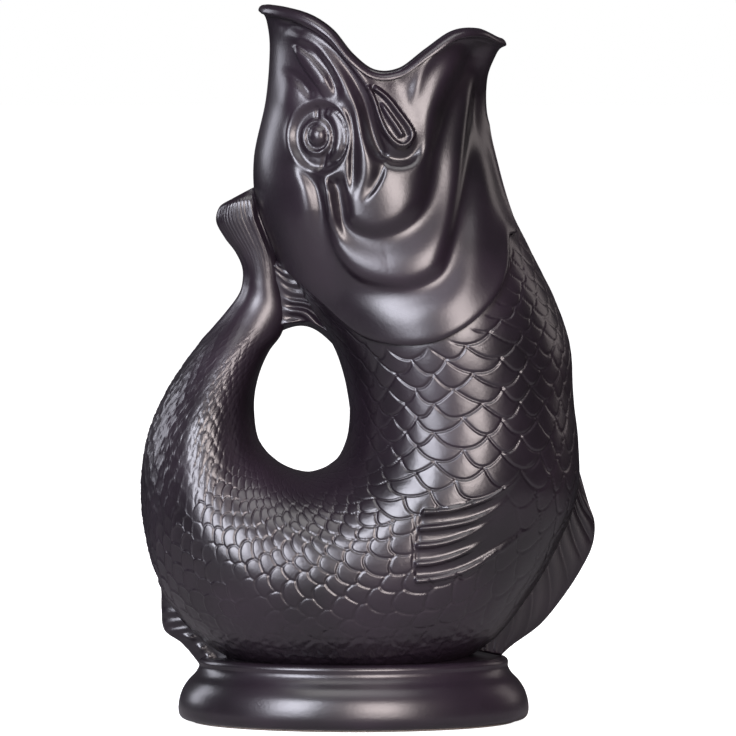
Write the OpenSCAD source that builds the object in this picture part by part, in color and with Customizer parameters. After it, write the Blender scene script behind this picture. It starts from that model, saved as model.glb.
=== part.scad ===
// Fish jug that gurgles as it pours: a hollow fish stands on an oval foot, its mouth is the spout
// and its hollow tail curls up behind as the handle. Seen from the side, x runs to the pouring lip
// and z runs up. The origin is at the centre of the foot's underside.

/* [Fish] */
// Height of the fish from the top of the foot to the tip of the upper jaw
fish_h = 224; // [180:0.2:260]
// Width of the fish across its belly
fish_w = 96; // [80:0.2:112]
// Thickness of the fired wall
wall = 4; // [3:0.25:5]
// Depth of the dip in the mouth's edge between the two jaw tips
dip_h = 16.4; // [10:0.2:22]
// How far the large scales of the breast stand proud
scale_t = 0.8; // [0.4:0.1:1.2]

/* [Foot] */
// Height of the foot up to the fish
foot_h = 21; // [18:0.5:28]
// Length of the foot along the fish
foot_l = 119.4; // [108:0.2:140]
// Width of the foot across the fish
foot_w = 88; // [80:0.5:104]
// Thickness of the foot under the belly
foot_wall = 4; // [3:0.25:5]
// Height of the bare ring that the jug stands on
ring_h = 1.6; // [1:0.1:3]
// Width of the bare ring
ring_w = 7; // [4:0.5:12]

/* [Head] */
// How far the gill covers stand proud of the body
gill_step = 2; // [1:0.1:3]
// Depth of the folds in the cheeks and of the corner web
fold_depth = 1.9; // [0.6:0.1:2.2]
// Half width of the folds in the cheeks
fold_w = 3.6; // [2.5:0.1:5]
// Depth of the eye's socket
socket_depth = 1.6; // [0.8:0.1:2]
// Diameter of the eye ball
eye_d = 6.4; // [5:0.1:8]
// Outer diameter of the ring round the eye
eye_ring_d = 10.4; // [9.5:0.1:13]
// Height of the ring round the eye
eye_ring_t = 1.6; // [1:0.1:2.4]
// Thickness of the drop-shaped ends of the jaws
jaw_end_t = 2.6; // [1.6:0.1:3.6]

/* [Fins] */
// Thickness of the breast fin where it leaves the body
breast_fin_t = 7; // [5:0.25:10]
// Thickness of the vent fin where it leaves the body
vent_fin_t = 9; // [6:0.25:12]
// Thickness of the tail fin where it leaves the tail
tail_fin_t = 15; // [10:0.25:18]
// Thickness of the fins along their free edges
fin_edge_t = 3.2; // [2.4:0.1:4.5]
// Thickness of the side fins' rays
ray_t = 3; // [2:0.1:4]

/* [Hidden] */

// Gap that keeps a seated piece clear of the curved skin under it
seat_gap = 0.3;
// Overrun of every cut
overrun = 1;
// Points round the fish, how far they crowd on its sides in degrees, and rings along each length
round_points = 44;
side_crowd = 10;
jaw_rings = 10;
jaw_inner_rings = 3;
head_rings = 17;
head_inner_rings = 5;
breast_inner_rings = 4;
belly_rings = 6;
belly_inner_rings = 4;
rear_rings = 5;
rear_inner_rings = 4;
tail_rings = 8;
tail_inner_rings = 5;
glaze = [0.16, 0.15, 0.17];
bare_clay = [0.82, 0.78, 0.72];

// Large scales: rows between the gill covers and the belly, points round each, how far its free
// edge arches across its row, the width of the step under the edge, and where the last rows fade
scale_rows = 9;
scale_points = 4;
scale_arch_share = 0.8;
scale_step_share = 0.12;
scale_fade = 5;
// First guesses of station and turn for places on the skin, and how near to a middle line they get
eye_near = [3.6, 120];
jaw_end_near = [2, 90];
side_fin_near = [12, 70];
least_turn = 25;

// Stations along the fish from the mouth round to the tip of the tail. Each has the inner edge
// x, z and the outer edge x, z as shares of the fish's height, half the width as a share of the
// fish's width, how much of the mouth's dip it follows, how square its section is, and its wall.
station_shares = [
    [-0.139, 0.996, 0.227, 0.941, 0.312, 1.00, 1.15, 0.68],
    [-0.131, 0.968, 0.215, 0.917, 0.307, 0.84, 1.12, 0.75],
    [-0.127, 0.926, 0.202, 0.880, 0.307, 0.62, 1.08, 0.90],
    [-0.133, 0.850, 0.200, 0.817, 0.323, 0.27, 1.00, 1.00],
    [-0.151, 0.762, 0.213, 0.759, 0.354, 0.09, 0.95, 1.00],
    [-0.146, 0.689, 0.235, 0.692, 0.380, 0.00, 0.93, 1.00],
    [-0.116, 0.619, 0.274, 0.612, 0.401, 0.00, 0.92, 1.00],
    [-0.075, 0.549, 0.307, 0.545, 0.411, 0.00, 0.92, 1.00],
    [-0.028, 0.471, 0.329, 0.477, 0.417, 0.00, 0.92, 1.00],
    [-0.008, 0.398, 0.334, 0.401, 0.427, 0.00, 0.92, 1.00],
    [-0.008, 0.349, 0.342, 0.325, 0.448, 0.00, 0.92, 1.00],
    [-0.020, 0.313, 0.341, 0.255, 0.469, 0.00, 0.93, 1.00],
    [-0.037, 0.296, 0.318, 0.190, 0.484, 0.00, 0.94, 1.00],
    [-0.054, 0.288, 0.274, 0.109, 0.495, 0.00, 0.95, 1.00],
    [-0.069, 0.285, 0.206, 0.026, 0.500, 0.00, 0.96, 1.00],
    [-0.083, 0.287, 0.107, -0.024, 0.495, 0.00, 0.96, 1.00],
    [-0.096, 0.291, -0.008, -0.039, 0.484, 0.00, 0.96, 1.00],
    [-0.110, 0.298, -0.124, -0.026, 0.458, 0.00, 0.96, 1.00],
    [-0.122, 0.307, -0.213, 0.018, 0.427, 0.00, 0.96, 1.00],
    [-0.134, 0.319, -0.279, 0.082, 0.385, 0.00, 0.96, 1.00],
    [-0.145, 0.338, -0.313, 0.168, 0.344, 0.00, 0.96, 0.95],
    [-0.150, 0.367, -0.324, 0.255, 0.302, 0.00, 0.96, 0.90],
    [-0.150, 0.401, -0.315, 0.337, 0.260, 0.00, 0.97, 0.85],
    [-0.142, 0.437, -0.286, 0.407, 0.208, 0.00, 0.98, 0.80],
    [-0.127, 0.471, -0.241, 0.474, 0.161, 0.00, 1.00, 0.75],
    [-0.110, 0.496, -0.197, 0.525, 0.125, 0.00, 1.00, 0.72],
    [-0.101, 0.527, -0.174, 0.556, 0.104, 0.00, 1.00, 0.70],
    [-0.109, 0.566, -0.168, 0.580, 0.090, 0.00, 1.00, 0.70]
];
// The mouth's dip from the upper jaw tip to the pouring lip, at even steps, as shares of its depth
dip_shares = [0, 0.01, 0.09, 0.33, 0.76, 0.995, 0.85, 0.33, -0.10, -0.18, 0];
// Station that the gill covers' edge crosses, at even turns from the throat to the nape
gill_stations = [3.2, 5.3, 5.6, 6.3, 6.9, 7.35, 7.65, 7.8, 7.78, 7.6, 6.95, 6.4, 6.15];
// Share of the way from the mouth to the gill covers' edge where the jaws give way to the head
jaws_share = 0.36;
// Stations where the breast gives way to the belly, that to the rear, and that to the tail
breast_end = 11.6;
belly_end = 16;
rear_end = 20;
// Stations where the tail and the hollow inside it end
tail_end = 27;
tail_hollow_end = 25.6;

// The foot's outline from the ring up: height as a share of the foot's height, then outline
foot_shares = [
    [0.10, 0.970], [0.20, 0.992], [0.32, 1.000], [0.46, 0.990], [0.60, 0.965],
    [0.72, 0.930], [0.82, 0.895], [0.91, 0.872], [0.97, 0.862], [1.02, 0.830], [1.05, 0.740]
];
// Outline of the ring, as a share of the foot's outline
ring_share = 0.955;
foot_points = 18;

// Lines of the cheek folds seen from the side, x and z as shares of the fish's height
inner_groove_shares = [
    [0.183, 0.896], [0.144, 0.815], [0.131, 0.782], [0.125, 0.716], [0.110, 0.683],
    [0.078, 0.653], [0.037, 0.641], [0.004, 0.647], [-0.016, 0.662], [-0.028, 0.716]
];
outer_groove_shares = [
    [0.194, 0.852], [0.186, 0.780], [0.175, 0.713], [0.160, 0.645], [0.142, 0.592],
    [0.112, 0.568], [0.068, 0.557], [0.014, 0.563], [-0.017, 0.583], [-0.040, 0.618],
    [-0.054, 0.691], [-0.072, 0.736]
];
cheek_ridge_shares = [
    [-0.099, 0.965], [-0.074, 0.952], [-0.048, 0.930], [-0.025, 0.902], [-0.008, 0.868],
    [0.002, 0.835], [0.010, 0.798], [0.017, 0.762], [0.019, 0.732], [0.011, 0.704]
];
brow_shares = [
    [-0.090, 0.933], [-0.077, 0.917], [-0.060, 0.896], [-0.045, 0.874], [-0.036, 0.852]
];
lip_groove_shares = [
    [-0.118, 0.971], [-0.087, 0.962], [-0.058, 0.947], [-0.031, 0.923], [-0.008, 0.893],
    [0.010, 0.859], [0.024, 0.823], [0.036, 0.789], [0.049, 0.762]
];
jaw_trough_shares = [
    [0.022, 0.814], [0.034, 0.783], [0.048, 0.767], [0.069, 0.759], [0.090, 0.762],
    [0.101, 0.780], [0.102, 0.801]
];
// The web in the corner of the mouth, which lies lower than both jaws
corner_web_shares = [[0.068, 0.911], [0.071, 0.883], [0.078, 0.853]];
// Each fold's height as a share of the folds' depth, its half widths on the right and the left of
// its run as shares of the folds' half width, and its line
head_fold_shares = [
    [-1.2, 1.05, 1.6, inner_groove_shares], [-1.2, 0.9, 1.6, outer_groove_shares],
    [1, 1.05, 0.95, cheek_ridge_shares], [0.9, 0.7, 0.7, brow_shares],
    [-0.8, 0.7, 0.7, lip_groove_shares], [-0.8, 0.7, 0.9, jaw_trough_shares],
    [-1.2, 1.6, 1.6, corner_web_shares]
];
// Places on the skin seen from the side, as shares of the fish's height
eye_share = [-0.056, 0.798];
jaw_end_shares = [
    [0.024, 0.873], [0.034, 0.832], [0.043, 0.807], [0.054, 0.788], [0.069, 0.776],
    [0.081, 0.779], [0.090, 0.791], [0.087, 0.801], [0.074, 0.818], [0.057, 0.839], [0.024, 0.873]
];
// Rays of the side fins, each from its root to its tip
side_ray_shares = [
    [[0.113, 0.228], [0.180, 0.235], [0.228, 0.260], [0.268, 0.296]],
    [[0.106, 0.197], [0.166, 0.206], [0.218, 0.233], [0.261, 0.270]],
    [[0.102, 0.172], [0.158, 0.182], [0.212, 0.206], [0.262, 0.250]],
    [[0.100, 0.146], [0.152, 0.155], [0.210, 0.187], [0.268, 0.245]],
    [[0.098, 0.121], [0.152, 0.135], [0.213, 0.170], [0.274, 0.234]]
];
// Breast, vent and tail fins: root, then edge, of each rib
breast_rib_shares = [
    [[0.325, 0.292], [0.339, 0.284]], [[0.322, 0.263], [0.348, 0.247]],
    [[0.314, 0.234], [0.358, 0.214]], [[0.301, 0.199], [0.358, 0.188]],
    [[0.284, 0.166], [0.350, 0.162]], [[0.264, 0.130], [0.337, 0.128]],
    [[0.244, 0.096], [0.316, 0.094]], [[0.222, 0.067], [0.289, 0.064]],
    [[0.200, 0.044], [0.257, 0.040]], [[0.182, 0.028], [0.226, 0.019]]
];
vent_rib_shares = [
    [[-0.255, 0.125], [-0.287, 0.113]], [[-0.247, 0.104], [-0.290, 0.090]],
    [[-0.238, 0.085], [-0.289, 0.066]], [[-0.222, 0.068], [-0.280, 0.043]],
    [[-0.206, 0.052], [-0.262, 0.025]], [[-0.188, 0.040], [-0.242, 0.012]]
];
upper_tail_rib_shares = [
    [[-0.160, 0.578], [-0.170, 0.566]], [[-0.156, 0.588], [-0.172, 0.610]],
    [[-0.150, 0.595], [-0.203, 0.662]], [[-0.142, 0.599], [-0.194, 0.688]],
    [[-0.135, 0.602], [-0.171, 0.702]], [[-0.127, 0.604], [-0.147, 0.700]]
];
lower_tail_rib_shares = [
    [[-0.136, 0.588], [-0.118, 0.620]], [[-0.129, 0.577], [-0.096, 0.586]],
    [[-0.122, 0.565], [-0.078, 0.562]], [[-0.115, 0.551], [-0.061, 0.536]],
    [[-0.110, 0.536], [-0.048, 0.516]]
];

// Smooth curve through a table's values, of numbers or of lists
function held(table, k) = table[min(max(k, 0), len(table) - 1)];
function eased(p0, p1, p2, p3, f) =
    0.5 * (2 * p1 + (p2 - p0) * f + (2 * p0 - 5 * p1 + 4 * p2 - p3) * f * f
    + (3 * p1 - p0 - 3 * p2 + p3) * f * f * f);
function along(table, u) =
    let (k = min(floor(u), len(table) - 2))
    eased(held(table, k - 1), held(table, k), held(table, k + 1), held(table, k + 2), u - k);

// Turn from the throat at 0 to the nape at 180, the same on both sides
function half_turn(a) = a > 180 ? 360 - a : a;
function gill_station(a) = along(gill_stations, half_turn(a) * (len(gill_stations) - 1) / 180);

// Point of the fish at a station and a turn round it, moved inwards by inset
function skin(s, a, inset = 0) =
    let (
        row = along(station_shares, s),
        back = [row[0], row[1]] * fish_h,
        front = [row[2], row[3]] * fish_h,
        half = (front - back) / 2,
        reach = norm(half),
        to_front = half / reach,
        dip = along(dip_shares, (cos(a) + 1) / 2 * (len(dip_shares) - 1)) * row[5] * dip_h,
        side = back + half + to_front * (reach - inset) * cos(a)
            + [to_front[1], -to_front[0]] * dip,
        out = (row[4] * fish_w - inset) * sign(sin(a)) * pow(abs(sin(a)), row[6])
    )
    [side[0], out, side[1] + foot_h];
function inner(s, a) = skin(s, a, wall * along(station_shares, s)[7]);

// Direction straight out of the skin
function outward(s, a) =
    let (
        step = 0.05,
        turn = 2,
        n = cross(skin(s + step, a) - skin(s - step, a), skin(s, a + turn) - skin(s, a - turn))
    )
    n / norm(n);

// Station and turn of the skin point that is seen from the side at p, found in a few steps
function side_view(point) = [point[0], point[2] - foot_h];
function sought(p, s, a, tries) =
    tries == 0 ? [s, a] :
    let (
        step = 0.1,
        turn = 1,
        here = side_view(skin(s, a)),
        ds = (side_view(skin(s + step, a)) - here) / step,
        da = (side_view(skin(s, a + turn)) - here) / turn,
        miss = p - here,
        whole = ds[0] * da[1] - ds[1] * da[0],
        next_s = s + (miss[0] * da[1] - miss[1] * da[0]) / whole,
        next_a = a + (ds[0] * miss[1] - ds[1] * miss[0]) / whole
    )
    sought(p, next_s, min(max(next_a, least_turn), 180 - least_turn), tries - 1);
function place(share, near) = sought(share * fish_h, near[0], near[1], 7);
function lifted(share, near, lift) =
    let (q = place(share, near)) skin(q[0], q[1], -lift);

// Distance from a side-view point to a line of shares, above 0 on the right of the line's run, and
// the soft rise beside it
function from_piece(p, a, b) =
    let (
        ab = b - a,
        off = p - a - min(max((p - a) * ab / (ab * ab), 0), 1) * ab
    )
    norm(off) * (cross(ab, off) < 0 ? 1 : -1);
function from_line(p, shares) =
    let (
        gaps = [
            for (i = [0 : len(shares) - 2]) from_piece(p, shares[i] * fish_h, shares[i + 1] * fish_h)
        ],
        nearest = min([for (gap = gaps) abs(gap)])
    )
    [for (gap = gaps) if (abs(gap) == nearest) gap][0];
function rise(d, w) = exp(-pow(d / w, 2));
function dish(d, w) = exp(-pow(d / w, 4));

// Folds of the head, flat under the jaw end, with the eye's socket sunk among them
function fold(p, row) =
    let (d = from_line(p, row[3]), w = d > 0 ? row[1] : row[2]) row[0] * rise(d, w * fold_w);
function cheek(p) =
    let (
        folds = [for (row = head_fold_shares) fold(p, row)],
        socket = dish(norm(p - eye_share * fish_h), 0.85 * eye_ring_d),
        clear = 1 - dish(from_line(p, jaw_end_shares), 0.7 * fold_w)
    )
    fold_depth * (folds * [for (row = folds) 1]) * (1 - socket) * clear - socket_depth * socket;
// Rise of the gill covers towards their edge, by the share of the way from the mouth
function gill_rise(t) = gill_step * rise(1 - t, 0.09);
function head_skin(t, a) =
    let (s = t * gill_station(a), p = side_view(skin(s, a)))
    skin(s, a, -gill_rise(t) - cheek(p) * abs(sin(a)));

turns = [
    for (j = [0 : round_points - 1])
        let (a = 360 * j / round_points) a + side_crowd * sin(2 * a)
];
function skin_ring(s) = [for (a = turns) skin(s, a)];
function inner_ring(s) = [for (a = turns) inner(s, a)];
function head_ring(t) = [for (a = turns) head_skin(t, a)];
function head_inner_ring(t) = [for (a = turns) inner(t * gill_station(a), a)];
function between(a, u) = gill_station(a) + (breast_end - gill_station(a)) * u;
// Ring of the breast, and the free edge of a row of its scales, on the scales or in the step below
function breast_ring(u) = [for (a = turns) skin(between(a, u), a)];
function scale_cell(row, j) = abs(2 * ((j + row % 2 * scale_points / 2) % scale_points) / scale_points - 1);
function scale_edge(row, raised) = [
    for (j = [0 : round_points - 1])
        let (
            a = turns[j],
            reach = row - scale_arch_share * pow(scale_cell(row, j), 2),
            u = (reach + (raised ? 0 : scale_step_share)) / scale_rows,
            lift = raised ? scale_t * min(1, scale_fade * (1 - u)) : 0
        )
        skin(between(a, u), a, -lift)
];
function breast_inner_ring(u) = [for (a = turns) inner(between(a, u), a)];
function part_way(from, to, i, steps) = from + (to - from) * i / steps;
// The mouth's rounded lip, at a share of the way across the wall
lip_shares = [0.12, 0.5, 0.88];
function lip_ring(share) =
    let (rim_wall = wall * station_shares[0][7], h = rim_wall * sqrt(share * (1 - share)))
    [for (a = turns) skin(0, a, rim_wall * share) + [0, 0, h]];

jaw_rows = [for (i = [1 : jaw_rings]) head_ring(jaws_share * i / jaw_rings)];
head_rows = [for (i = [0 : head_rings]) head_ring(part_way(1, jaws_share, i, head_rings))];
breast_rows = [
    breast_ring(0),
    for (row = [1 : scale_rows - 1], raised = [true, false]) scale_edge(row, raised),
    breast_ring(1)
];
belly_rows = [
    for (i = [0 : belly_rings]) skin_ring(part_way(breast_end, belly_end, i, belly_rings))
];
rear_rows = [for (i = [0 : rear_rings]) skin_ring(part_way(belly_end, rear_end, i, rear_rings))];
tail_rows = [for (i = [0 : tail_rings]) skin_ring(part_way(rear_end, tail_end, i, tail_rings))];

// Faces between rings that are joined into one skin, turned inside out where flip is set
function ring_faces(rows, points, closed, flip) = [
    for (i = [0 : rows - (closed ? 1 : 2)], j = [0 : points - 1])
        let (
            a = i * points + j,
            b = i * points + (j + 1) % points,
            c = (i + 1) % rows * points + (j + 1) % points,
            d = (i + 1) % rows * points + j
        )
        each flip ? [[a, c, b], [a, d, c]] : [[a, b, c], [a, c, d]]
];
function flat(rows) = [for (row = rows) each row];
function after_first(rows) = [for (i = [1 : len(rows) - 1]) rows[i]];
function middle(row) = [for (k = [0 : 2]) [for (p = row) p[k]] * [for (p = row) 1] / len(row)];

// A wall that runs out along one skin and back along the other
module hollow_wall(rows, flip = false) {
    polyhedron(flat(rows), ring_faces(len(rows), round_points, true, flip), convexity = 8);
}

// A skin closed at both ends by a fan
module capped(rows, flip = false) {
    n = len(rows);
    m = round_points;
    first = n * m;
    last = first + 1;
    caps = [
        for (j = [0 : m - 1])
            let (k = (j + 1) % m, e = (n - 1) * m)
            each flip ? [[first, j, k], [last, e + k, e + j]] : [[first, k, j], [last, e + j, e + k]]
    ];
    points = concat(flat(rows), [middle(rows[0]), middle(rows[n - 1])]);
    polyhedron(points, concat(ring_faces(n, m, false, flip), caps), convexity = 8);
}

// The fish without its hollow, for cutting what seats against it
module body_core() {
    capped(concat(breast_rows, after_first(belly_rows), after_first(rear_rows)));
}
module tail_core() {
    capped(tail_rows);
}
module head_core() {
    mouth = [for (i = [jaw_rings - 1 : -1 : 0]) jaw_rows[i]];
    capped(concat([breast_ring(0)], head_rows, after_first(mouth), [lip_ring(lip_shares[0])]), true);
}

// Outline of an oval
function oval_points(length, width) =
    [for (j = [0 : 2 * foot_points - 1]) [cos(180 * j / foot_points) * length / 2,
        sin(180 * j / foot_points) * width / 2]];

module foot_ring() {
    color(bare_clay)
    linear_extrude(ring_h)
    difference() {
        polygon(oval_points(foot_l * ring_share, foot_w * ring_share));
        polygon(oval_points(foot_l * ring_share - 2 * ring_w, foot_w * ring_share - 2 * ring_w));
    }
}

// The deepest the fish sinks below the top of the foot
sink = -min([for (row = station_shares) row[3]]) * fish_h;
recess_top = max(foot_h - sink - foot_wall, ring_h);
slice = 0.02;

module foot_slice(z, share) {
    translate([0, 0, z])
    linear_extrude(slice)
    polygon(oval_points(foot_l * share, foot_w * share));
}

module foot() {
    heights = concat([ring_h], [for (row = foot_shares) row[0] * foot_h]);
    outlines = concat([ring_share], [for (row = foot_shares) row[1]]);
    color(glaze)
    difference() {
        for (i = [0 : len(heights) - 2]) {
            hull() {
                foot_slice(heights[i], outlines[i]);
                foot_slice(heights[i + 1], outlines[i + 1]);
            }
        }
        body_core();
        translate([0, 0, ring_h - overrun])
        linear_extrude(recess_top - ring_h + overrun)
        polygon(oval_points(foot_l * ring_share - 2 * ring_w, foot_w * ring_share - 2 * ring_w));
    }
}

module breast() {
    inside = [for (i = [breast_inner_rings : -1 : 1]) breast_inner_ring(i / breast_inner_rings)];
    color(glaze) hollow_wall(concat([breast_inner_ring(0)], breast_rows, inside));
}

module belly() {
    inside = [
        for (i = [belly_inner_rings : -1 : 0])
            inner_ring(part_way(breast_end, belly_end, i, belly_inner_rings))
    ];
    color(glaze) hollow_wall(concat(belly_rows, inside));
}

module rear_body() {
    inside = [
        for (i = [rear_inner_rings : -1 : 0])
            inner_ring(part_way(belly_end, rear_end, i, rear_inner_rings))
    ];
    color(glaze) hollow_wall(concat(rear_rows, inside));
}

module tail() {
    hollow = [
        for (i = [0 : tail_inner_rings])
            inner_ring(part_way(rear_end, tail_hollow_end, i, tail_inner_rings))
    ];
    solid = [for (i = [tail_rings : -1 : 0]) tail_rows[i]];
    color(glaze) capped(concat(solid, hollow), true);
}

module head() {
    inside = [
        for (i = [0 : head_inner_rings - 1])
            head_inner_ring(part_way(jaws_share, 1, i, head_inner_rings))
    ];
    color(glaze)
    hollow_wall(concat([head_inner_ring(1), breast_ring(0)], head_rows, inside), true);
}

module jaws() {
    inside = [
        for (i = [jaw_inner_rings : -1 : 1]) head_inner_ring(jaws_share * i / jaw_inner_rings)
    ];
    lip = [for (i = [len(lip_shares) - 1 : -1 : 0]) lip_ring(lip_shares[i])];
    color(glaze)
    hollow_wall(concat(inside, lip, jaw_rows));
}

// Carries its children to a place on the skin and turns them to face straight out
module seated(s, a, lift) {
    n = outward(s, a);
    translate(skin(s, a, -lift))
    rotate([0, acos(n[2]), atan2(n[1], n[0])])
    children();
}

// Left and right are the fish's own: its left side is at plus y
module mirrored(left) {
    if (left) children();
    else mirror([0, 1, 0]) children();
}

module eye(left) {
    q = place(eye_share, eye_near);
    ring_r = eye_ring_d / 2 - eye_ring_t / 2;
    color(glaze)
    mirrored(left)
    seated(q[0], q[1], seat_gap - socket_depth) {
        cylinder(h = eye_ring_t / 2, d = eye_ring_d, $fn = 32);
        translate([0, 0, eye_ring_t / 2])
        rotate_extrude($fn = 32)
        translate([ring_r, 0])
        intersection() {
            circle(d = eye_ring_t, $fn = 20);
            translate([-eye_ring_t, 0]) square([2 * eye_ring_t, eye_ring_t]);
        }
        translate([0, 0, eye_ring_t / 2])
        intersection() {
            sphere(d = eye_d, $fn = 32);
            cylinder(h = eye_d, d = eye_d + overrun, $fn = 32);
        }
    }
}

module bead(p, d) {
    translate(p) sphere(d = d, $fn = 6);
}

module jaw_end(left) {
    n = len(jaw_end_shares);
    spots = [for (q = jaw_end_shares) lifted(q, jaw_end_near, seat_gap)];
    heart = (spots[2] + spots[8]) / 2;
    color(glaze)
    difference() {
        mirrored(left)
        for (i = [0 : n - 2]) {
            hull() {
                bead(spots[i], jaw_end_t * (i == 0 ? 0.5 : 1));
                bead(spots[i + 1], jaw_end_t * (i == n - 2 ? 0.5 : 1));
            }
            hull() {
                bead(spots[i], jaw_end_t / 2);
                bead(spots[i + 1], jaw_end_t / 2);
                bead(heart, jaw_end_t / 2);
            }
        }
        head_core();
    }
}

// A fin in the middle plane: a web that thins towards its edge and a rib at each pair of points
module ribbed_fin(ribs, root_t) {
    function spot(share) = [share[0] * fish_h, 0, share[1] * fish_h + foot_h];
    module peg(p, h) {
        translate(p) rotate([90, 0, 0]) cylinder(h = h, d = fin_edge_t, center = true, $fn = 8);
    }
    module rib(i, root, edge) {
        hull() {
            peg(spot(ribs[i][0]), root);
            peg(spot(ribs[i][1]), edge);
        }
    }
    for (i = [0 : len(ribs) - 1]) rib(i, root_t, fin_edge_t);
    for (i = [0 : len(ribs) - 2]) {
        hull() {
            rib(i, root_t * 0.7, fin_edge_t * 0.6);
            rib(i + 1, root_t * 0.7, fin_edge_t * 0.6);
        }
    }
}

module breast_fin() {
    color(glaze)
    difference() {
        ribbed_fin(breast_rib_shares, breast_fin_t);
        body_core();
    }
}

module vent_fin() {
    color(glaze)
    difference() {
        ribbed_fin(vent_rib_shares, vent_fin_t);
        body_core();
    }
}

module tail_fin() {
    color(glaze)
    difference() {
        union() {
            ribbed_fin(upper_tail_rib_shares, tail_fin_t);
            ribbed_fin(lower_tail_rib_shares, tail_fin_t);
        }
        head_core();
        tail_core();
        body_core();
    }
}

// A side fin: rays that lie on the flank and fan out from the root, with a web between them
module side_fin(left) {
    rays = [for (ray = side_ray_shares) [for (q = ray) lifted(q, side_fin_near, 0)]];
    color(glaze)
    difference() {
        mirrored(left) {
            for (ray = rays, k = [0 : len(ray) - 2]) {
                hull() {
                    bead(ray[k], ray_t);
                    bead(ray[k + 1], ray_t);
                }
            }
            for (i = [0 : len(rays) - 2], k = [0 : len(rays[0]) - 2]) {
                hull() {
                    bead(rays[i][k], ray_t / 2);
                    bead(rays[i][k + 1], ray_t / 2);
                    bead(rays[i + 1][k], ray_t / 2);
                    bead(rays[i + 1][k + 1], ray_t / 2);
                }
            }
        }
        body_core();
    }
}

foot_ring();
foot();
belly();
breast();
rear_body();
tail();
head();
jaws();
jaw_end(true);  // jaw_end_left
jaw_end(false);  // jaw_end_right
eye(true);  // eye_left
eye(false);  // eye_right
tail_fin();
breast_fin();
vent_fin();
side_fin(true);  // side_fin_left
side_fin(false);  // side_fin_right
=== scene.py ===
"""Looks of the fish jug: satin black glaze over carved head folds, scales and ribbed fins."""
import math

import bmesh
import bpy
import numpy as np
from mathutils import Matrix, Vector


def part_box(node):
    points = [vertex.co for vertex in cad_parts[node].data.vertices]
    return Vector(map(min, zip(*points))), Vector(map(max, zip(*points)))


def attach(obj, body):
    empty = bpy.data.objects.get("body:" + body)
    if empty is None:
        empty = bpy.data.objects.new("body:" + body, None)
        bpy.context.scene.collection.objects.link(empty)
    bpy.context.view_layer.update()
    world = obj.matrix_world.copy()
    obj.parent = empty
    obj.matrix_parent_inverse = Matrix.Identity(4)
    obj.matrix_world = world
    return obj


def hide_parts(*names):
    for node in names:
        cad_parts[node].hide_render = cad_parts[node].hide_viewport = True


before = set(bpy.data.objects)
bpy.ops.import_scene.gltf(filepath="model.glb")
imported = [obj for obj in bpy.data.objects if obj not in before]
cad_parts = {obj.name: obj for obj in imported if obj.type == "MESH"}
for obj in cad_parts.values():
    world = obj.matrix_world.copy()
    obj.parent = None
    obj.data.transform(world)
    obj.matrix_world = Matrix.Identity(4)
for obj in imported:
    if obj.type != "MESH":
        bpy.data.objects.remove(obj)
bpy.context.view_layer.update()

# Sizes of the jug in metres, as its solids have them
FISH_H = 0.224
FISH_W = 0.096
FOOT_H = 0.021
WALL = 0.004
DIP_H = 0.0164
FOOT_LOW, FOOT_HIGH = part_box("foot")
FOOT_L = FOOT_HIGH[0] - FOOT_LOW[0]
FOOT_W = FOOT_HIGH[1] - FOOT_LOW[1]
MM = 0.001

# The photograph's frame: its width in pixels, the pixel above the foot's centre, the row of the
# foot's top, and the size of one pixel in the middle plane of the jug
PHOTO_PX = 736
CENTRE_PX = 353.5
FOOT_TOP_PX = 660
PIXEL = 0.00034

# The camera stands a little higher than the mouth, in front of the fish's right side
CAMERA_BACK = 2.6
CAMERA_UP = 0.27
AIM = Vector((
    (PHOTO_PX / 2 - CENTRE_PX) * PIXEL,
    0,
    FOOT_H + (FOOT_TOP_PX - PHOTO_PX / 2) * PIXEL,
))
EYE_POINT = Vector((AIM.x, -CAMERA_BACK, CAMERA_UP))
# Width of its sensor in millimetres, and the distances in metres that it sees
SENSOR = 36.0
CLIP = (0.05, 50)

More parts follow.
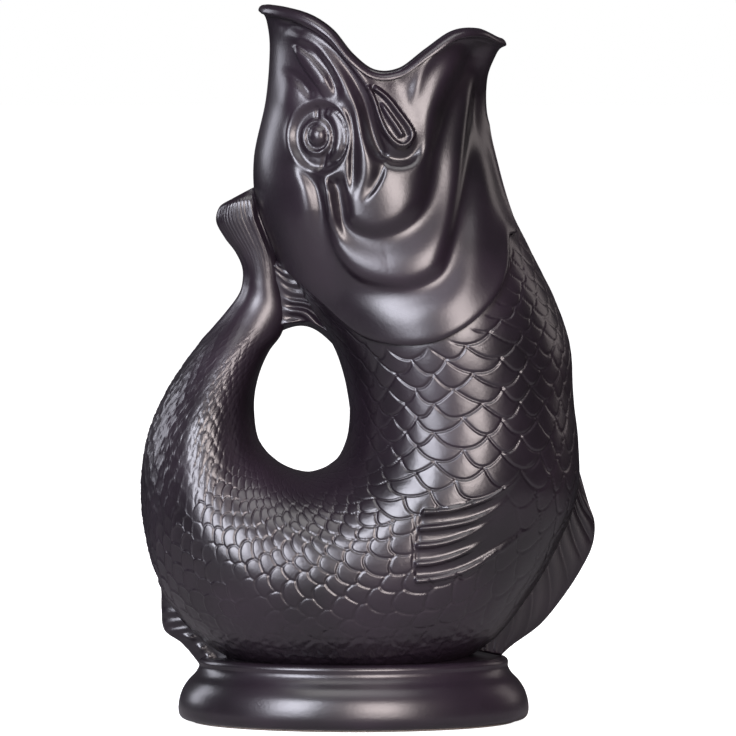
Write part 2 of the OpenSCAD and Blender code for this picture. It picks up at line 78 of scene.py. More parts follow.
# Stations along the fish from the mouth to the end of the tail fin's upper lobe: inner edge x, z
# and outer edge x, z as shares of the height, half width as a share of the width, share of the
# mouth's dip, squareness of the section, share of the wall
STATIONS = np.array([
    (-0.139, 0.996, 0.227, 0.941, 0.312, 1.00, 1.15, 0.68),
    (-0.131, 0.968, 0.215, 0.917, 0.307, 0.84, 1.12, 0.75),
    (-0.127, 0.926, 0.202, 0.880, 0.307, 0.62, 1.08, 0.90),
    (-0.133, 0.850, 0.200, 0.817, 0.323, 0.27, 1.00, 1.00),
    (-0.151, 0.762, 0.213, 0.759, 0.354, 0.09, 0.95, 1.00),
    (-0.146, 0.689, 0.235, 0.692, 0.380, 0.00, 0.93, 1.00),
    (-0.116, 0.619, 0.274, 0.612, 0.401, 0.00, 0.92, 1.00),
    (-0.075, 0.549, 0.307, 0.545, 0.411, 0.00, 0.92, 1.00),
    (-0.028, 0.471, 0.329, 0.477, 0.417, 0.00, 0.92, 1.00),
    (-0.008, 0.398, 0.334, 0.401, 0.427, 0.00, 0.92, 1.00),
    (-0.008, 0.349, 0.342, 0.325, 0.448, 0.00, 0.92, 1.00),
    (-0.020, 0.313, 0.341, 0.255, 0.469, 0.00, 0.93, 1.00),
    (-0.037, 0.296, 0.318, 0.190, 0.484, 0.00, 0.94, 1.00),
    (-0.054, 0.288, 0.274, 0.109, 0.495, 0.00, 0.95, 1.00),
    (-0.069, 0.285, 0.206, 0.026, 0.500, 0.00, 0.96, 1.00),
    (-0.083, 0.287, 0.107, -0.024, 0.495, 0.00, 0.96, 1.00),
    (-0.096, 0.291, -0.008, -0.039, 0.484, 0.00, 0.96, 1.00),
    (-0.110, 0.298, -0.124, -0.026, 0.458, 0.00, 0.96, 1.00),
    (-0.122, 0.307, -0.213, 0.018, 0.427, 0.00, 0.96, 1.00),
    (-0.134, 0.319, -0.279, 0.082, 0.385, 0.00, 0.96, 1.00),
    (-0.145, 0.338, -0.313, 0.168, 0.344, 0.00, 0.96, 0.95),
    (-0.150, 0.367, -0.324, 0.255, 0.302, 0.00, 0.96, 0.90),
    (-0.150, 0.401, -0.315, 0.337, 0.260, 0.00, 0.97, 0.85),
    (-0.142, 0.437, -0.286, 0.407, 0.208, 0.00, 0.98, 0.80),
    (-0.127, 0.471, -0.241, 0.474, 0.161, 0.00, 1.00, 0.75),
    (-0.110, 0.496, -0.197, 0.525, 0.120, 0.00, 0.80, 0.72),
    (-0.101, 0.527, -0.174, 0.556, 0.097, 0.00, 0.70, 0.70),
    (-0.109, 0.566, -0.168, 0.580, 0.090, 0.00, 0.62, 0.70),
    (-0.112, 0.594, -0.170, 0.600, 0.088, 0.00, 0.54, 0.70),
    (-0.114, 0.622, -0.180, 0.621, 0.087, 0.00, 0.46, 0.70),
    (-0.122, 0.652, -0.195, 0.641, 0.086, 0.00, 0.42, 0.70),
    (-0.132, 0.682, -0.208, 0.666, 0.085, 0.00, 0.42, 0.70),
    (-0.140, 0.706, -0.203, 0.688, 0.080, 0.00, 0.45, 0.70),
    (-0.146, 0.720, -0.186, 0.699, 0.055, 0.00, 0.60, 0.70),
])
DIP_SHARES = np.array([0, 0.01, 0.09, 0.33, 0.76, 0.995, 0.85, 0.33, -0.10, -0.18, 0])
GILL_STATIONS = np.array([3.2, 5.3, 5.6, 6.3, 6.9, 7.35, 7.65, 7.8, 7.78, 7.6, 6.95, 6.4, 6.15])
FLANK_END = 11.6
BELLY_END = 16
REAR_END = 20
HOLLOW_END = 25.6
TAIL_END = 33

# Least length to divide by, and how far before its last row a table's curve ends
TINY = 1e-12
BEFORE_LAST = 1e-9
# Steps of a smooth line from one given point to the next, and in pixels how far out from it
# places are measured, a reach over the whole picture, and the distance given beyond the reach
LINE_STEPS = 10
LINE_REACH = 60
WHOLE_REACH = 2000
BEYOND = 1e3


def along(table, u):
    """Smooth curve through a table's rows."""
    table = np.asarray(table, float)
    u = np.clip(u, 0, len(table) - 1 - BEFORE_LAST)
    k = np.floor(u).astype(int)
    f = u - k
    last = len(table) - 1
    p0, p1 = table[np.clip(k - 1, 0, last)], table[k]
    p2, p3 = table[np.clip(k + 1, 0, last)], table[np.clip(k + 2, 0, last)]
    if table.ndim > 1:
        f = f[..., None]
    return 0.5 * (
        2 * p1 + (p2 - p0) * f + (2 * p0 - 5 * p1 + 4 * p2 - p3) * f**2
        + (3 * p1 - p0 - 3 * p2 + p3) * f**3
    )


def skin(s, a, inset=0.0):
    """Points of the fish at stations s and turns a in radians, moved inwards by inset."""
    row = along(STATIONS, s)
    back, front = row[..., 0:2] * FISH_H, row[..., 2:4] * FISH_H
    half = (front - back) / 2
    reach = np.linalg.norm(half, axis=-1)
    to_front = half / reach[..., None]
    across = np.stack([to_front[..., 1], -to_front[..., 0]], -1)
    dip = along(DIP_SHARES, (np.cos(a) + 1) / 2 * (len(DIP_SHARES) - 1)) * row[..., 5] * DIP_H
    side = back + half + to_front * ((reach - inset) * np.cos(a))[..., None]
    side = side + across * dip[..., None]
    out = (row[..., 4] * FISH_W - inset) * np.sign(np.sin(a)) * np.abs(np.sin(a)) ** row[..., 6]
    return np.stack([side[..., 0], out, side[..., 1] + FOOT_H], -1)


def wall_at(s):
    """Thickness of the wall at stations s, in metres."""
    return WALL * along(STATIONS, s)[..., 7]


def outward(s, a):
    """Unit vectors straight out of the smooth skin."""
    ds, da = 0.02, 0.01  # steps to both sides, in stations and in radians
    along_s = skin(s + ds, a) - skin(np.maximum(s - ds, 0), a)
    along_a = skin(s, a + da) - skin(s, a - da)
    n = np.cross(along_s, along_a)
    return n / np.maximum(np.linalg.norm(n, axis=-1, keepdims=True), TINY)


def half_turn(a):
    """A turn's distance from the throat on its own side, 0 to pi."""
    turn = np.mod(a, 2 * math.pi)
    return np.where(turn > math.pi, 2 * math.pi - turn, turn)


def at_turn(table, a):
    """Value at a turn, from a table at even turns from the throat to the nape."""
    return along(table, half_turn(a) / math.pi * (len(table) - 1))


def gill_station(a):
    """Station of the gill covers' edge at a turn."""
    return at_turn(GILL_STATIONS, a)


def seen_px(points):
    """Where the camera sees points of the near side, in the photograph's pixels."""
    near = points.copy()
    near[..., 1] = -np.abs(near[..., 1])
    view = np.array((AIM - EYE_POINT).normalized())
    right = np.cross(view, (0, 0, 1))
    right /= np.linalg.norm(right)
    up = np.cross(right, view)
    ray = near - np.array(EYE_POINT)
    depth = ray @ view
    focal = (AIM - EYE_POINT).length / PIXEL
    x = ray @ right / depth * focal + PHOTO_PX / 2
    y = PHOTO_PX / 2 - ray @ up / depth * focal
    return np.stack([x, y], -1)


def curve_through(points):
    """Points of a smooth line through given ones."""
    n = len(points) - 1
    return along(points, np.linspace(0, n, n * LINE_STEPS + 1))


def beside(p, points, reach=LINE_REACH):
    """Distance to a smooth line, the side (+ is right of its run as seen) and share along it."""
    line = curve_through(np.asarray(points, float))
    shape = p.shape[:-1]
    flat = p.reshape(-1, 2)
    close = np.all((flat > line.min(0) - reach) & (flat < line.max(0) + reach), axis=1)
    best = np.full(len(flat), BEYOND)
    side = np.ones(len(flat))
    share = np.zeros(len(flat))
    near, gap, turned, part = flat[close], best[close], side[close], share[close]
    count = len(line) - 1
    for i in range(count):
        a, b = line[i], line[i + 1]
        ab = b - a
        rel = near - a
        t = np.clip(rel @ ab / max(ab @ ab, TINY), 0, 1)
        off = rel - t[:, None] * ab
        d = np.hypot(off[:, 0], off[:, 1])
        closer = d < gap
        gap = np.where(closer, d, gap)
        turned = np.where(closer, np.sign(ab[0] * rel[:, 1] - ab[1] * rel[:, 0]), turned)
        part = np.where(closer, (i + t) / count, part)
    best[close], side[close], share[close] = gap, turned, part
    return best.reshape(shape), side.reshape(shape), share.reshape(shape)


def smooth(x, low, high):
    """0 below low, 1 above high and a soft step between them."""
    t = np.clip((x - low) / (high - low), 0, 1)
    return t * t * (3 - 2 * t)


def bump(d, w):
    """A soft rise: 1 at its crest, and low at a distance of w and more."""
    return np.exp(-((d / w) ** 2))


def ends(share, lead, tail):
    """Fades a line's relief in and out at its two ends."""
    return smooth(share, 0, lead) * (1 - smooth(share, 1 - tail, 1))


def ridge(p, points, high, wide, lead, tail):
    """A soft ridge along a line, or a groove where high is below 0."""
    d, _, share = beside(p, points)
    return high * bump(d, wide) * ends(share, lead, tail)


def fold(p, points, high, right, left, lead, tail):
    """A groove or ridge whose half widths on its two sides change along its run."""
    d, side, share = beside(p, points)
    rights = np.interp(share, np.linspace(0, 1, len(right)), right)
    lefts = np.interp(share, np.linspace(0, 1, len(left)), left)
    return high * bump(d, np.where(side > 0, rights, lefts)) * ends(share, lead, tail)


def from_centre(p, centre, radii):
    """Distance from an oval's centre, 1 at its edge, with radii across and up."""
    q = (p - np.array(centre)) / np.array(radii)
    return np.hypot(q[..., 0], q[..., 1])


def mound(p, centre, radii):
    """A soft round rise."""
    return bump(from_centre(p, centre, radii), 1)


def inside_oval(p, centre, radii, edge):
    """1 inside an oval and 0 outside, with a soft edge of so many pixels."""
    return smooth((1 - from_centre(p, centre, radii)) * min(radii), -edge, edge)


def bead(d, w):
    """Round rod seen from above: 1 in its middle, upright at its edges w away."""
    return np.sqrt(np.clip(1 - (d / w) ** 2, 0, 1))


def ring_at(p, centre, radii, wide):
    """A round-topped ring about a centre."""
    return bead((from_centre(p, centre, radii) - 1) * sum(radii) / 2, wide)


def rod(p, points, high, wides, lead, tail):
    """A round-topped rod along a line, with half widths at even shares of its run."""
    d, _, share = beside(p, points)
    wide = np.interp(share, np.linspace(0, 1, len(wides)), wides)
    return high * bead(d, wide) * ends(share, lead, tail)


def right_of(p, points, low, high):
    """0 on the left of a line and 1 on its right, changing from low to high pixels beside it."""
    d, side, _ = beside(p, points, WHOLE_REACH)
    return smooth(side * d, low, high)


# Lines of the head, in the photograph's pixels
OUTER_GROOVE = [
    (488, 62), (485, 84), (481, 112), (476, 146), (469, 190), (459, 235), (447, 270), (427, 286),
    (398, 293), (363, 289), (342, 276), (327, 253), (321, 228), (318, 205), (313, 186), (303, 171),
    (294, 158),
]
INNER_GROOVE = [
    (484, 38), (475, 66), (458, 98), (448, 123), (441, 150), (436, 188), (426, 212), (405, 231),
    (378, 239), (356, 235), (343, 224), (339, 205), (336, 190), (329, 176),
]
PLATE_FOLD = [(322, 174), (328, 188), (330, 205), (333, 224), (341, 244)]
CHEEK_RIDGE = [
    (288, 24), (305, 33), (322, 47), (337, 66), (348, 88), (355, 110), (360, 134), (365, 158),
    (366, 178), (361, 196),
]
RIDGE_FOOT = [(385, 158), (380, 176), (372, 190), (361, 203)]
EYE_SIDE_GROOVE = [(343, 96), (350, 114), (353, 135), (353, 160), (352, 182), (353, 201)]
LIP_GROOVE = [
    (276, 20), (296, 26), (315, 36), (333, 52), (348, 72), (360, 94), (369, 118), (377, 140),
    (386, 158),
]
LIP_EDGE = [(268, 8), (285, 13), (300, 19), (316, 28), (332, 42), (348, 60), (361, 77), (370, 91)]
BROW = [(294, 45), (303, 56), (314, 70), (324, 84), (330, 99)]
BROW_GROOVE = [(300, 38), (316, 52), (329, 70), (337, 88), (341, 103)]
FOREHEAD_GROOVE = [(280, 68), (294, 76), (305, 87), (313, 101)]
SOCKET_LEFT = [(318, 103), (300, 111), (290, 128), (289.5, 144), (295, 157), (305, 170), (315, 186)]
SOCKET_RIGHT = [(318, 103), (334, 105), (345, 119), (349, 138), (346, 156), (335, 170)]
EYE_LOBE = [(323, 110), (334, 117), (339.5, 132), (338, 148), (329, 162)]
JAW_END = [
    (367, 84), (374, 101), (379, 117), (385, 131), (393, 142), (401, 146.5), (408, 144),
    (411.5, 136), (408, 127), (399, 114), (387, 98), (373, 86),
]
JAW_CORE = [(380, 102), (388, 115), (396, 127), (402, 137)]
JAW_TROUGH = [
    (362, 84), (367, 108), (372, 134), (381, 150), (395, 158), (409, 157), (417, 148), (419, 134),
    (414, 118),
]
WEB_LEFT = [(322, 14), (352, 52), (366, 72), (384, 92), (400, 106), (414, 118), (440, 142)]
WEB_RIGHT = [(486, 2), (462, 24), (446, 38), (432, 54), (421, 72), (414, 93), (411, 116), (404, 150)]
WEB_ROLL = [(458, 27), (444, 40), (431, 56), (421, 74), (415, 95), (412, 114)]
LOWER_JAW = [(470, 46), (452, 66), (440, 88), (432, 112), (426, 145), (417, 180)]
EYE_NICK = [(316, 104), (314.5, 112), (316, 121)]
TEAR_GROOVE = [(324, 148), (322, 158), (318, 172)]

# The plain web in the corners of the mouth: how far it sinks in metres, and the pixels beside its
# left and its right line over which it does
WEB_SINK = 1.7 * MM
WEB_LEFT_FADE = (-22, 8)
WEB_RIGHT_FADE = (-10, 24)

# The head's carving. Heights are in millimetres, and below 0 where it cuts in. Widths and radii are
# in pixels. A line's last two numbers are the shares of its run over which it starts and ends.
# Folds: line, height, half widths along its right and its left side
FOLDS = [
    # Rolled cheek plates: steep under each edge, gentle where the next plate rises
    (OUTER_GROOVE, -2.7, [9, 10, 10, 9, 8, 8], [9, 12, 18, 24, 9, 4], 0.1, 0.14),
    (INNER_GROOVE, -2.8, [13, 15, 13, 10, 9, 10], [8, 12, 18, 22, 8, 4], 0.06, 0.05),
    # Ridge from the nose to the cheek, and the grooves on both of its sides
    (CHEEK_RIDGE, 2.0, [11, 12, 12, 12], [9, 10, 10, 9], 0.12, 0.32),
    (RIDGE_FOOT, -1.1, [7, 8, 8], [3, 3, 3], 0.35, 0.4),
    (EYE_SIDE_GROOVE, -1.4, [4, 4, 4], [5, 7, 8], 0.25, 0.3),
    (LIP_GROOVE, -1.7, [6, 7, 6, 5], [6, 7, 6, 5], 0.15, 0.08),
    # Trough round the drop-shaped jaw end
    (JAW_TROUGH, -2.5, [7, 7, 7], [8, 8, 8], 0.25, 0.4),
]
# Ridges: line, height, half width
RIDGES = [
    (LOWER_JAW, 1.6, 13, 0.25, 0.35),
    (BROW_GROOVE, -1.2, 4.6, 0.3, 0.35),
    (FOREHEAD_GROOVE, -1.2, 5.0, 0.5, 0.25),
    (SOCKET_LEFT, 0.6, 3.4, 0.35, 0.6),
    (SOCKET_RIGHT, 0.6, 3.2, 0.3, 0.4),
    (EYE_NICK, -0.8, 1.5, 0.3, 0.3),
    (TEAR_GROOVE, -0.8, 1.8, 0.3, 0.3),
    (WEB_ROLL, 0.5, 5.5, 0.3, 0.3),
]
# Round-topped rods: line, height, half widths along it
RODS = [
    (PLATE_FOLD, 1.3, [3, 6, 6, 4], 0.35, 0.4),
    (BROW, 1.7, [2, 7, 8, 5], 0.2, 0.3),
    (EYE_LOBE, 2.0, [4.5, 7.2, 7.2, 4.0], 0.2, 0.25),
    (JAW_END, 2.4, [2.9], 0.03, 0.03),
    (JAW_CORE, 2.2, [1.5, 3.3, 3.6, 3.0], 0.2, 0.05),
]
# Soft mounds of the cheek and forehead, and the hollow under the eye: height, centre, radii
MOUNDS = [
    (0.8, (391, 190), (38, 34)),
    (1.3, (290, 98), (13, 20)),
    (-0.8, (321, 168), (16, 11)),
]
# The eye's socket, ring and ball: centre, radii across and up, and the half width of the socket's
# soft edge and of the ring, then their depth and heights
SOCKET = (319, 137), (28.5, 33), 4.5
EYE_RING = (315.2, 136.6), (13.4, 15.8), 2.5
EYE_BALL = (316.2, 134.5), (9.8, 10.8)
SOCKET_DEEP, RING_HIGH, BALL_HIGH = 1.9, 1.1, 2.7
# The carving fades out to the middle plane between these sines of the turn
SIDE_FADE = (0.02, 0.3)
# The upper jaw's rounded lip: height, half widths on its right and left, and where it ends
LIP_HIGH, LIP_RIGHT, LIP_LEFT, LIP_END = 1.0, 2.2, 7, 0.9
# The rim of both jaws: height in millimetres and half width in stations
RIM_HIGH, RIM_WIDE = 1.2, 0.36
# The gill covers' edge, in millimetres: its rise, how far forwards that fades, and the share and
# length of its turned-over border. A station of the head is so many millimetres long
GILL_HIGH, GILL_FADE, GILL_TURN, GILL_BORDER = 1.9, 6.0, 0.55, 0.8
HEAD_STATION = 13.5


def web_bend(points):
    """How far both skins sink at the plain web in the corners of the mouth, in metres."""
    p = seen_px(points)
    within = (1 - right_of(p, WEB_LEFT, *WEB_LEFT_FADE)) * right_of(p, WEB_RIGHT, *WEB_RIGHT_FADE)
    return -WEB_SINK * within


def head_relief(points, t, a):
    """Height of the head's carving over the smooth skin, in metres."""
    p = seen_px(points)
    h = np.zeros(p.shape[:-1])
    for shape, rows in ((fold, FOLDS), (ridge, RIDGES), (rod, RODS)):
        for row in rows:
            h += shape(p, *row)
    for high, centre, radii in MOUNDS:
        h += high * mound(p, centre, radii)
    h -= SOCKET_DEEP * inside_oval(p, *SOCKET)
    h += RING_HIGH * ring_at(p, *EYE_RING)
    h += BALL_HIGH * bead(from_centre(p, *EYE_BALL), 1)
    side = smooth(np.abs(np.sin(a)), *SIDE_FADE)
    h *= side
    # The rounded lip of the upper jaw down to its bright edge, and the rim of both jaws
    d, which, share = beside(p, LIP_EDGE)
    lip = bump(d, np.where(which > 0, LIP_RIGHT, LIP_LEFT)) * (1 - smooth(share, LIP_END, 1))
    h += LIP_HIGH * lip * side + RIM_HIGH * bump(t * gill_station(a), RIM_WIDE)
    # The gill covers rise to their edge and turn over
    to_edge = (1 - t) * gill_station(a) * HEAD_STATION
    h += GILL_HIGH * np.exp(-to_edge / GILL_FADE) * (1 - GILL_TURN * np.exp(-to_edge / GILL_BORDER))
    return h * MM


# Scales: stations, the length of one row in metres, how far a free edge arches into the next row
# and how deep the seams are in millimetres
SCALE_STATIONS = np.array([6.0, 11.0, 12.5, 14.0, 16.0, 18.0, 20.0, 22.0, 24.0, 26.0])
SCALE_ROWS = np.array([4.9, 5.0, 5.2, 5.4, 4.5, 3.7, 3.6, 3.4, 3.0, 2.4]) * MM
SCALE_REACH = np.array([0.92, 0.92, 0.86, 0.66, 0.56, 0.56, 0.60, 0.65, 0.70, 0.70])
SCALE_DEPTHS = np.array([0.62, 0.62, 0.60, 0.60, 0.50, 0.42, 0.36, 0.32, 0.24, 0.16])
# Width of one scale in degrees of turn, at even turns from the throat to the nape: the large
# scales of the breast, then the small ones behind them
LARGE_WIDTHS = np.array([12, 12, 14, 19, 25, 22, 17, 14, 12, 12])
SMALL_WIDTHS = np.array([12, 12, 12, 12, 12, 11, 9, 8, 7, 7])
SMALL_FROM = 12.7
# Rows are counted along the flank at this turn, in steps of so many stations, and scales round the
# fish in so many steps to a degree
FLANK_TURN = 1.75
FLANK_STEP = 0.02
TURN_STEPS = 4
# Unevenness as shares of a scale: the waver of a row sideways and lengthwise, and the spread of the
# tips, with the wave numbers that make neighbours differ
SIDE_WAVER, SIDE_WAVES = 0.10, (2.9, 5.7)
ROW_WAVER, ROW_WAVES = 0.05, (3.3, 0.9)
TIP_SPREAD, TIP_WAVES = 0.05, (12.9898, 78.233)
ARCH_POWER = 2.1
# A pad rises from the seam before it, behind it and at its sides, over these shares of a scale
SEAM = -0.02
RISE_BEFORE, RISE_BEHIND, RISE_BESIDE = 0.15, 0.11, 0.13
# Its bead beside the seam: height, place and half width. Its fall towards the sides and the ends,
# and the shortest pad that has one
BEAD_HIGH, BEAD_AT, BEAD_WIDE = 0.10, 0.17, 0.09
FALL_ACROSS, FALL_ALONG = 0.30, 0.24
SHORTEST_PAD = 0.05


def row_numbers():
    """Row number of the scales at fine steps along the fish's side."""
    s = np.arange(0, TAIL_END, FLANK_STEP)
    middle = skin(s, np.full_like(s, FLANK_TURN))
    step = np.linalg.norm(np.diff(middle, axis=0, prepend=middle[:1]), axis=-1)
    pitch = np.interp(s, SCALE_STATIONS, SCALE_ROWS)
    return s, np.cumsum(step / pitch)


def scale_places(widths):
    """Number of scales passed at fine turns from the throat to the nape, ending on a whole one."""
    turn = np.linspace(0, 180, 180 * TURN_STEPS + 1)
    width = np.interp(turn, np.linspace(0, 180, len(widths)), widths)
    passed = np.concatenate([[0], np.cumsum(1 / TURN_STEPS / width[1:])])
    return np.radians(turn), passed * round(passed[-1]) / passed[-1]


ROW_S, ROW_U = row_numbers()
PLACE_A, LARGE_N = scale_places(LARGE_WIDTHS)
SMALL_N = scale_places(SMALL_WIDTHS)[1]


def free_edge(row, place):
    """A row's arch at a place, from 0 at its scales' corners to 1 at their tips, and the cell."""
    place = place + 0.5 * np.mod(row, 2)
    place = place + SIDE_WAVER * np.sin(SIDE_WAVES[0] * place + SIDE_WAVES[1] * row)
    number = np.floor(place)
    cell = np.abs(2 * (place - number) - 1)
    uneven = np.sin(row * TIP_WAVES[0] + number * TIP_WAVES[1])
    return (1 + TIP_SPREAD * uneven) * (1 - cell**ARCH_POWER), cell


def scale_height(s, a):
    """Height of the scales, 0 in the seams to 1 on the pads, with their free edges to the tail."""
    half = half_turn(a)
    large, small = np.interp(half, PLACE_A, LARGE_N), np.interp(half, PLACE_A, SMALL_N)
    waver = ROW_WAVER * np.sin(ROW_WAVES[0] * large) * np.sin(ROW_WAVES[1] * s)
    u = np.interp(s, ROW_S, ROW_U) + waver
    row = np.floor(u)
    finer_from = np.interp(SMALL_FROM, ROW_S, ROW_U)
    reach = np.interp(s, SCALE_STATIONS, SCALE_REACH)

    def edge(r):
        arch, cell = free_edge(r, np.where(r > finer_from, small, large))
        return arch * reach, cell

    (here, cell), (above, _), (below, next_cell) = edge(row), edge(row - 1), edge(row + 1)
    down = u - row
    own = down < here
    past = np.where(own, down + 1 - above, down - here)
    left = np.where(own, here - down, 1 - down + below)
    across = np.where(own, cell, next_cell)
    pad = smooth(past, SEAM, RISE_BEFORE) * smooth(left, SEAM, RISE_BEHIND)
    pad *= smooth(1 - across, SEAM, RISE_BESIDE)
    bead_beside = BEAD_HIGH * bump(past - BEAD_AT, BEAD_WIDE)
    lengthwise = 2 * past / np.maximum(past + left, SHORTEST_PAD) - 1
    return pad * (1 + bead_beside - FALL_ACROSS * across**2 - FALL_ALONG * lengthwise**2)


# The side fin, in the photograph's pixels: rays from the root, and its root edge
SIDE_RAYS = [
    [(419, 513), (445, 511), (470, 505), (494, 496), (513, 483), (528, 466)],
    [(418, 529), (446, 526), (474, 520), (498, 508), (519, 490)],
    [(416, 546), (438, 544), (460, 538), (484, 527), (506, 510)],
    [(415, 564), (435, 562), (456, 556), (480, 545), (503, 529)],
    [(414, 580), (440, 577), (466, 569), (494, 553), (524, 530), (548, 497)],
]
SIDE_ROOT = [(426, 500), (420, 515), (417, 530), (415, 548), (414, 566), (414, 588)]
# A ray: height in millimetres, half widths on its right and left, how much of both it loses along
# its run, and the shares of the run over which it ends
RAY_HIGH, RAY_RIGHT, RAY_LEFT = 1.9, 3.45, 2.7
RAY_SINKS, RAY_NARROWS, RAY_END = 0.60, 0.15, (0.50, 0.92)
# The fin's field lies lower than the scales, behind a step at the root, and fades to the right
FIELD_DEEP, FIELD_EDGE, ROOT_EDGE, FIELD_FADE = 0.75, 3, 0.5, (505, 548)
STEP_DEEP, STEP_WIDE, STEP_ENDS = 0.5, 3.0, (0.4, 0.4)
# The plain border at the root, where no scale shows: half width and how much of them it takes
BORDER_WIDE, BORDER_SHARE, BORDER_ENDS = 5, 0.6, (0.1, 0.1)


def side_fin_relief(p):
    """Height of the side fin and how much it covers the scales under it."""
    h = np.zeros(p.shape[:-1])
    for ray in SIDE_RAYS:
        d, side, share = beside(p, ray)
        fade = (1 - RAY_SINKS * share) * (1 - smooth(share, *RAY_END))
        wide = np.where(side > 0, RAY_RIGHT, RAY_LEFT) * (1 - RAY_NARROWS * share)
        h = np.maximum(h, RAY_HIGH * bump(d, wide) * fade)
    front = 1 - right_of(p, SIDE_ROOT, -FIELD_EDGE, ROOT_EDGE)
    under = right_of(p, SIDE_RAYS[0], -FIELD_EDGE, FIELD_EDGE)
    over = 1 - right_of(p, SIDE_RAYS[-1], -FIELD_EDGE, FIELD_EDGE)
    d, _, share = beside(p, SIDE_ROOT)
    cover = front * under * over * (1 - smooth(p[..., 0], *FIELD_FADE))
    h = h * front - STEP_DEEP * bump(d, STEP_WIDE) * ends(share, *STEP_ENDS)
    border = BORDER_SHARE * bump(d, BORDER_WIDE) * ends(share, *BORDER_ENDS)
    return h - FIELD_DEEP * cover, np.clip(cover + border, 0, 1)


def soft_noise(points, size):
    """A slow wave over the surface, about -1 to 1, that has no order to the eye."""
    q = points / size
    return (
        np.sin(q[..., 0] * 1.7 + 3.1 * np.sin(q[..., 2] * 0.9 + 1.3))
        + np.sin(q[..., 2] * 2.3 + 2.2 * np.sin(q[..., 1] * 1.1 + 0.4))
        + np.sin(q[..., 1] * 1.9 + 2.7 * np.sin(q[..., 0] * 1.3 + 2.1))
    ) / 3


# Where the scales are faint. Worn near the foot: share that is left, heights in metres over which
# it changes, and how far and in what waves that border wanders
WORN_LEFT, WORN_HEIGHTS, WORN_WANDER, WORN_WAVES = 0.30, (0.026, 0.045), 0.004, 0.011
# Down the front and round the finger gap: share taken, and the cosines of the turn that bound it
FRONT_TAKEN, FRONT_COSINES, FRONT_STATIONS = 0.40, (0.5, 0.9), (14, 16)
GAP_TAKEN, GAP_COSINES = 0.70, (0.45, 0.9)
# Behind the gill covers in millimetres, and towards the tail's end in stations
GILL_CLEAR = (0.5, 3.5)
SCALES_END = (23.0, 25.6)
# At the rear, inside these turns, the seams stand up and the pads lie sunk by this share
SUNK_STATIONS, SUNK_TURNS, SUNK_SHARE = (16.8, 18.2), (1.15, 1.6), 1.25
# The stations of the side fin, and the share of the scales that it hides
FIN_FROM, FIN_TO, FIN_HIDES = (8.6, 9.4), (15.8, 16.4), 0.94
# Faint hammered marks above the foot: height in millimetres, waves and heights in metres
MARK_HIGH, MARK_WAVES, MARK_HEIGHTS = 0.15, 0.0013, (0.026, 0.05)
# The furrow behind the gill covers: depth and length in millimetres, and a station past its end.
# A station of the body is so many millimetres long
FURROW_DEEP, FURROW_LONG, FURROW_END = 0.5, 2.5, 12
BODY_STATION = 14
# The tail fin's upper lobe. It thins towards its outer edge: by how many millimetres, over which
# stations and sines of the turn. Its relief ends before the tip
THINNING, THIN_STATIONS, THIN_SINES = 1.1, (22.0, 25.0), (0, 0.5)
CAP_STATIONS = (31.5, 32.6)
# Its fine rays: height in millimetres, number round the fin, stations over which they begin
LOBE_RAY_HIGH, LOBE_RAYS, LOBE_RAY_STATIONS = 0.045, 40, (27.0, 31.0)
# The bright ridge down its right side, in the photograph's pixels: height, half width, its ends as
# shares of its run, and stations. The strip beside the head lies lower: depth, and pixels over
# which it sinks
LOBE_RIDGE = [(250, 190), (251, 205), (253, 220), (258, 233), (263, 246), (268, 258), (273, 270)]
LOBE_RIDGE_HIGH, LOBE_RIDGE_WIDE, LOBE_RIDGE_ENDS = 0.6, 3.6, (0.3, 0.7)
LOBE_STATIONS = (26.6, 30.0)
STRIP_DEEP, STRIP_SINKS = 0.9, 7


def scale_share(points, s, a):
    """How much of their full height the scales have, 0 to 1."""
    z = points[..., 2] + WORN_WANDER * soft_noise(points, WORN_WAVES)
    worn = WORN_LEFT + (1 - WORN_LEFT) * smooth(z, *WORN_HEIGHTS)
    at_front = smooth(np.cos(a), *FRONT_COSINES) * (1 - smooth(s, *FRONT_STATIONS))
    at_gap = smooth(-np.cos(a), *GAP_COSINES)
    behind_gill = smooth((s - gill_station(a)) * BODY_STATION, *GILL_CLEAR)
    before_end = 1 - smooth(s, *SCALES_END)
    return worn * (1 - FRONT_TAKEN * at_front) * (1 - GAP_TAKEN * at_gap) * behind_gill * before_end


def lobe_relief(p, s, a):
    """Height of the tail fin's upper lobe over the smooth skin, in millimetres."""
    cap = 1 - smooth(s, *CAP_STATIONS)
    h = LOBE_RAY_HIGH * smooth(s, *LOBE_RAY_STATIONS) * np.cos(a * LOBE_RAYS)
    h -= THINNING * smooth(s, *THIN_STATIONS) * np.cos(a) * smooth(np.abs(np.sin(a)), *THIN_SINES)
    d, side, share = beside(p, LOBE_RIDGE)
    rise = LOBE_RIDGE_HIGH * bump(d, LOBE_RIDGE_WIDE) * ends(share, *LOBE_RIDGE_ENDS)
    fall = STRIP_DEEP * smooth(-side * d, 0, STRIP_SINKS)
    return (h + smooth(s, *LOBE_STATIONS) * (rise - fall)) * cap


